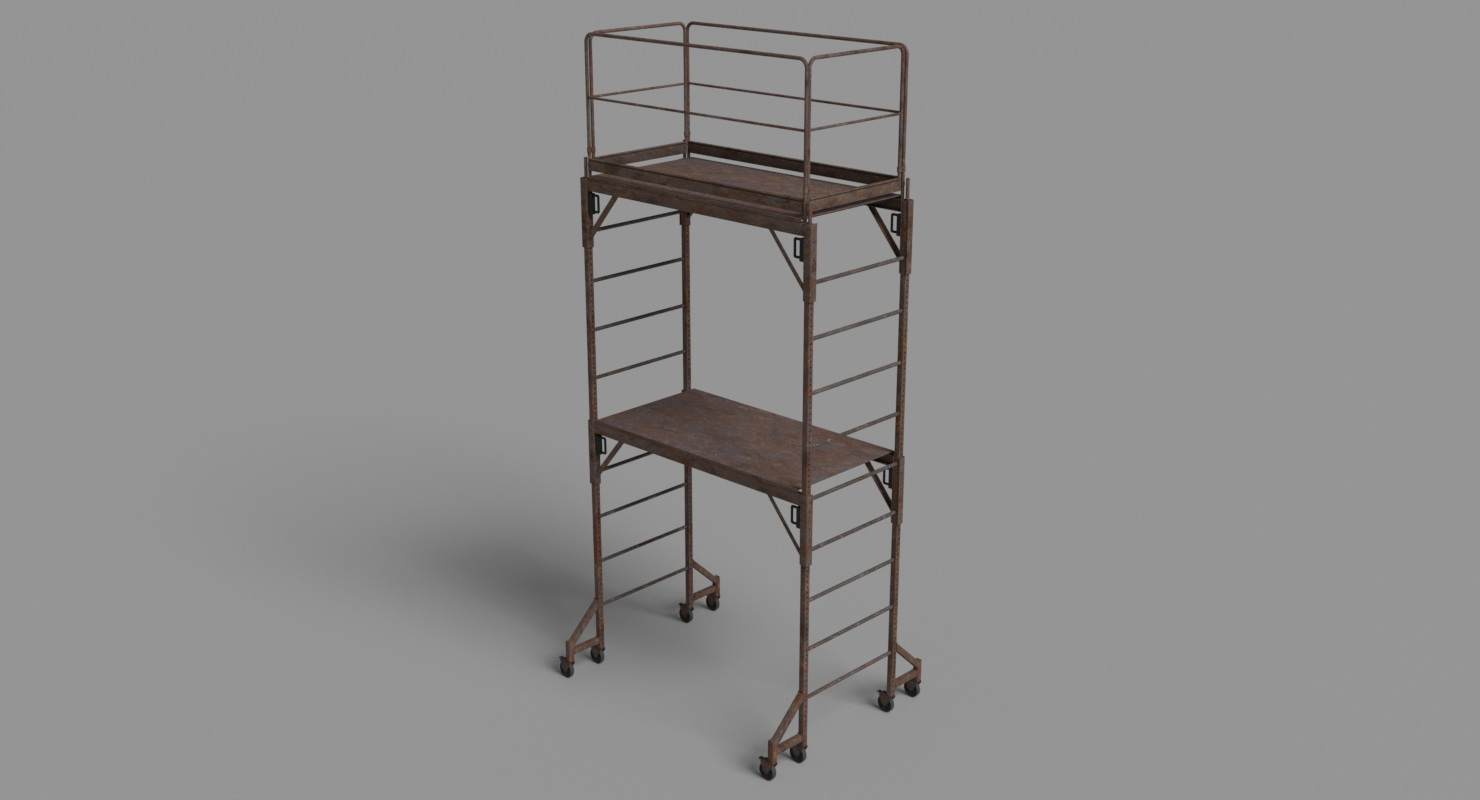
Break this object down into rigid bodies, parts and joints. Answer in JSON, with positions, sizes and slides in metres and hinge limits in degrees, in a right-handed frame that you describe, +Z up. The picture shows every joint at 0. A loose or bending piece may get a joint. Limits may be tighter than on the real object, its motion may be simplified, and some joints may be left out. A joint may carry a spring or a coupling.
{
  "type": "baker scaffold",
  "caption": "Rolling steel scaffold with stacked ladder frames, adjustable platforms, guardrails, toe boards and outriggers, on braked swivel casters.",
  "frame": {"origin": "on the floor, under the middle of the outline", "axes": "+Z up, X along the platforms, Y along the rungs"},
  "size_m": [2.017, 1.4812, 4.344],
  "materials": {
    "tube_steel": "worn paint over rust",
    "bracket_steel": "worn paint over rust",
    "deck_steel": "scuffed and rusty",
    "rail_steel": "worn paint over rust",
    "black_steel": "black, worn at the edges",
    "fork_steel": "worn paint over rust",
    "wheel_rubber": "dusty black rubber"
  },
  "bodies": {
    "scaffold": {"lower_frame_left": "tube_steel", "lower_frame_right": "tube_steel", "upper_frame_left": "tube_steel", "upper_frame_right": "tube_steel", "lower_deck_frame": "bracket_steel", "lower_deck_sheet": "deck_steel", "upper_deck_frame": "bracket_steel", "upper_deck_sheet": "deck_steel", "lower_bracket_front": "bracket_steel", "lower_bracket_back": "bracket_steel", "upper_bracket_front": "bracket_steel", "upper_bracket_back": "bracket_steel", "guardrail_front": "rail_steel", "guardrail_back": "rail_steel", "guardrail_left": "rail_steel", "guardrail_right": "rail_steel", "toe_board_front": "bracket_steel", "toe_board_back": "bracket_steel", "toe_board_left": "bracket_steel", "toe_board_right": "bracket_steel", "corner_clip_front_left": "black_steel", "corner_clip_front_right": "black_steel", "corner_clip_back_left": "black_steel", "corner_clip_back_right": "black_steel", "outrigger_front_left": "tube_steel", "outrigger_front_right": "tube_steel", "outrigger_back_left": "tube_steel", "outrigger_back_right": "tube_steel"},
    "caster_inner_front_left": {"caster_fork_inner_front_left": "fork_steel"},
    "caster_inner_front_right": {"caster_fork_inner_front_right": "fork_steel"},
    "caster_inner_back_left": {"caster_fork_inner_back_left": "fork_steel"},
    "caster_inner_back_right": {"caster_fork_inner_back_right": "fork_steel"},
    "caster_outer_front_left": {"caster_fork_outer_front_left": "fork_steel"},
    "caster_outer_front_right": {"caster_fork_outer_front_right": "fork_steel"},
    "caster_outer_back_left": {"caster_fork_outer_back_left": "fork_steel"},
    "caster_outer_back_right": {"caster_fork_outer_back_right": "fork_steel"},
    "wheel_inner_front_left": {"wheel_inner_front_left": "wheel_rubber"},
    "wheel_inner_front_right": {"wheel_inner_front_right": "wheel_rubber"},
    "wheel_inner_back_left": {"wheel_inner_back_left": "wheel_rubber"},
    "wheel_inner_back_right": {"wheel_inner_back_right": "wheel_rubber"},
    "wheel_outer_front_left": {"wheel_outer_front_left": "wheel_rubber"},
    "wheel_outer_front_right": {"wheel_outer_front_right": "wheel_rubber"},
    "wheel_outer_back_left": {"wheel_outer_back_left": "wheel_rubber"},
    "wheel_outer_back_right": {"wheel_outer_back_right": "wheel_rubber"},
    "brake_inner_front_left": {"brake_pedal_inner_front_left": "black_steel"},
    "brake_inner_front_right": {"brake_pedal_inner_front_right": "black_steel"},
    "brake_inner_back_left": {"brake_pedal_inner_back_left": "black_steel"},
    "brake_inner_back_right": {"brake_pedal_inner_back_right": "black_steel"},
    "brake_outer_front_left": {"brake_pedal_outer_front_left": "black_steel"},
    "brake_outer_front_right": {"brake_pedal_outer_front_right": "black_steel"},
    "brake_outer_back_left": {"brake_pedal_outer_back_left": "black_steel"},
    "brake_outer_back_right": {"brake_pedal_outer_back_right": "black_steel"},
    "lock_lower_front_left": {"lower_lock_pin_front_left": "black_steel"},
    "lock_lower_front_right": {"lower_lock_pin_front_right": "black_steel"},
    "lock_lower_back_left": {"lower_lock_pin_back_left": "black_steel"},
    "lock_lower_back_right": {"lower_lock_pin_back_right": "black_steel"},
    "lock_upper_front_left": {"upper_lock_pin_front_left": "black_steel"},
    "lock_upper_front_right": {"upper_lock_pin_front_right": "black_steel"},
    "lock_upper_back_left": {"upper_lock_pin_back_left": "black_steel"},
    "lock_upper_back_right": {"upper_lock_pin_back_right": "black_steel"}
  },
  "joints": [
    {"name": "caster_swivel_inner_front_left", "type": "hinge", "parent": "scaffold", "child": "caster_inner_front_left", "pos_m": [-0.9045, -0.435, 0.135], "axis": [0, 0, 1], "continuous": true},
    {"name": "caster_swivel_inner_front_right", "type": "hinge", "parent": "scaffold", "child": "caster_inner_front_right", "pos_m": [0.9775, -0.435, 0.135], "axis": [0, 0, 1], "continuous": true},
    {"name": "caster_swivel_inner_back_left", "type": "hinge", "parent": "scaffold", "child": "caster_inner_back_left", "pos_m": [-0.9045, 0.435, 0.135], "axis": [0, 0, 1], "continuous": true},
    {"name": "caster_swivel_inner_back_right", "type": "hinge", "parent": "scaffold", "child": "caster_inner_back_right", "pos_m": [0.9775, 0.435, 0.135], "axis": [0, 0, 1], "continuous": true},
    {"name": "caster_swivel_outer_front_left", "type": "hinge", "parent": "scaffold", "child": "caster_outer_front_left", "pos_m": [-0.9045, -0.713, 0.135], "axis": [0, 0, 1], "continuous": true},
    {"name": "caster_swivel_outer_front_right", "type": "hinge", "parent": "scaffold", "child": "caster_outer_front_right", "pos_m": [0.9775, -0.713, 0.135], "axis": [0, 0, 1], "continuous": true},
    {"name": "caster_swivel_outer_back_left", "type": "hinge", "parent": "scaffold", "child": "caster_outer_back_left", "pos_m": [-0.9045, 0.713, 0.135], "axis": [0, 0, 1], "continuous": true},
    {"name": "caster_swivel_outer_back_right", "type": "hinge", "parent": "scaffold", "child": "caster_outer_back_right", "pos_m": [0.9775, 0.713, 0.135], "axis": [0, 0, 1], "continuous": true},
    {"name": "wheel_spin_inner_front_left", "type": "hinge", "parent": "caster_inner_front_left", "child": "wheel_inner_front_left", "pos_m": [-0.9415, -0.435, 0.06], "axis": [0, 1, 0], "continuous": true},
    {"name": "wheel_spin_inner_front_right", "type": "hinge", "parent": "caster_inner_front_right", "child": "wheel_inner_front_right", "pos_m": [0.9405, -0.435, 0.06], "axis": [0, 1, 0], "continuous": true},
    {"name": "wheel_spin_inner_back_left", "type": "hinge", "parent": "caster_inner_back_left", "child": "wheel_inner_back_left", "pos_m": [-0.9415, 0.435, 0.06], "axis": [0, 1, 0], "continuous": true},
    {"name": "wheel_spin_inner_back_right", "type": "hinge", "parent": "caster_inner_back_right", "child": "wheel_inner_back_right", "pos_m": [0.9405, 0.435, 0.06], "axis": [0, 1, 0], "continuous": true},
    {"name": "wheel_spin_outer_front_left", "type": "hinge", "parent": "caster_outer_front_left", "child": "wheel_outer_front_left", "pos_m": [-0.9415, -0.713, 0.06], "axis": [0, 1, 0], "continuous": true},
    {"name": "wheel_spin_outer_front_right", "type": "hinge", "parent": "caster_outer_front_right", "child": "wheel_outer_front_right", "pos_m": [0.9405, -0.713, 0.06], "axis": [0, 1, 0], "continuous": true},
    {"name": "wheel_spin_outer_back_left", "type": "hinge", "parent": "caster_outer_back_left", "child": "wheel_outer_back_left", "pos_m": [-0.9415, 0.713, 0.06], "axis": [0, 1, 0], "continuous": true},
    {"name": "wheel_spin_outer_back_right", "type": "hinge", "parent": "caster_outer_back_right", "child": "wheel_outer_back_right", "pos_m": [0.9405, 0.713, 0.06], "axis": [0, 1, 0], "continuous": true},
    {"name": "brake_tip_inner_front_left", "type": "hinge", "parent": "caster_inner_front_left", "child": "brake_inner_front_left", "pos_m": [-0.9755, -0.435, 0.121], "axis": [0, -1, 0], "range_deg": [0, 18]},
    {"name": "brake_tip_inner_front_right", "type": "hinge", "parent": "caster_inner_front_right", "child": "brake_inner_front_right", "pos_m": [0.9065, -0.435, 0.121], "axis": [0, -1, 0], "range_deg": [0, 18]},
    {"name": "brake_tip_inner_back_left", "type": "hinge", "parent": "caster_inner_back_left", "child": "brake_inner_back_left", "pos_m": [-0.9755, 0.435, 0.121], "axis": [0, -1, 0], "range_deg": [0, 18]},
    {"name": "brake_tip_inner_back_right", "type": "hinge", "parent": "caster_inner_back_right", "child": "brake_inner_back_right", "pos_m": [0.9065, 0.435, 0.121], "axis": [0, -1, 0], "range_deg": [0, 18]},
    {"name": "brake_tip_outer_front_left", "type": "hinge", "parent": "caster_outer_front_left", "child": "brake_outer_front_left", "pos_m": [-0.9755, -0.713, 0.121], "axis": [0, -1, 0], "range_deg": [0, 18]},
    {"name": "brake_tip_outer_front_right", "type": "hinge", "parent": "caster_outer_front_right", "child": "brake_outer_front_right", "pos_m": [0.9065, -0.713, 0.121], "axis": [0, -1, 0], "range_deg": [0, 18]},
    {"name": "brake_tip_outer_back_left", "type": "hinge", "parent": "caster_outer_back_left", "child": "brake_outer_back_left", "pos_m": [-0.9755, 0.713, 0.121], "axis": [0, -1, 0], "range_deg": [0, 18]},
    {"name": "brake_tip_outer_back_right", "type": "hinge", "parent": "caster_outer_back_right", "child": "brake_outer_back_right", "pos_m": [0.9065, 0.713, 0.121], "axis": [0, -1, 0], "range_deg": [0, 18]},
    {"name": "lock_pull_lower_front_left", "type": "slide", "parent": "scaffold", "child": "lock_lower_front_left", "axis": [1, 0, 0], "range_m": [0, 0.022], "stiffness_N_per_m": 1500, "springref_m": -0.01},
    {"name": "lock_pull_lower_front_right", "type": "slide", "parent": "scaffold", "child": "lock_lower_front_right", "axis": [-1, 0, 0], "range_m": [0, 0.022], "stiffness_N_per_m": 1500, "springref_m": -0.01},
    {"name": "lock_pull_lower_back_left", "type": "slide", "parent": "scaffold", "child": "lock_lower_back_left", "axis": [1, 0, 0], "range_m": [0, 0.022], "stiffness_N_per_m": 1500, "springref_m": -0.01},
    {"name": "lock_pull_lower_back_right", "type": "slide", "parent": "scaffold", "child": "lock_lower_back_right", "axis": [-1, 0, 0], "range_m": [0, 0.022], "stiffness_N_per_m": 1500, "springref_m": -0.01},
    {"name": "lock_pull_upper_front_left", "type": "slide", "parent": "scaffold", "child": "lock_upper_front_left", "axis": [1, 0, 0], "range_m": [0, 0.022], "stiffness_N_per_m": 1500, "springref_m": -0.01},
    {"name": "lock_pull_upper_front_right", "type": "slide", "parent": "scaffold", "child": "lock_upper_front_right", "axis": [-1, 0, 0], "range_m": [0, 0.022], "stiffness_N_per_m": 1500, "springref_m": -0.01},
    {"name": "lock_pull_upper_back_left", "type": "slide", "parent": "scaffold", "child": "lock_upper_back_left", "axis": [1, 0, 0], "range_m": [0, 0.022], "stiffness_N_per_m": 1500, "springref_m": -0.01},
    {"name": "lock_pull_upper_back_right", "type": "slide", "parent": "scaffold", "child": "lock_upper_back_right", "axis": [-1, 0, 0], "range_m": [0, 0.022], "stiffness_N_per_m": 1500, "springref_m": -0.01}
  ]
}
